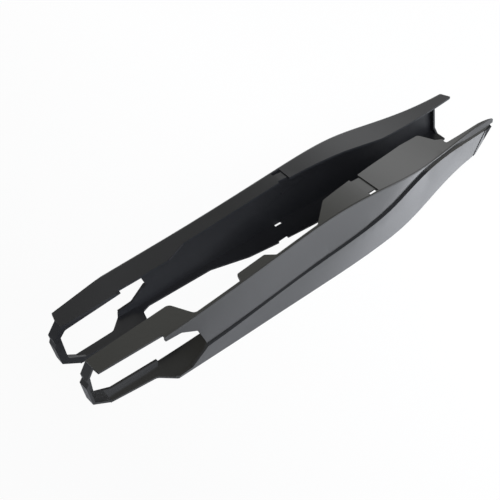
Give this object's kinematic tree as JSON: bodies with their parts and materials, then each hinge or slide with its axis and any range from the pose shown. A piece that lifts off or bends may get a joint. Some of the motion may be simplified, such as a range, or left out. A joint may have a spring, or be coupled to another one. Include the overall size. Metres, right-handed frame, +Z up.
{
  "type": "motorcycle swingarm protector",
  "caption": "Left and right moulded channel guards that slip over the arms of a swingarm, with an axle window, flanges, strap slots and a nose tab.",
  "frame": {"origin": "bottom centre of the pair's bounding box, on the floor between the two guards", "axes": "+X forward along the arms, from the axle window to the nose; +Y to the left; +Z up"},
  "size_m": [0.5021, 0.0988, 0.0799],
  "materials": {
    "black_moulding": "satin"
  },
  "bodies": {
    "root": {"right_guard": "black_moulding", "left_guard": "black_moulding"}
  },
  "joints": []
}
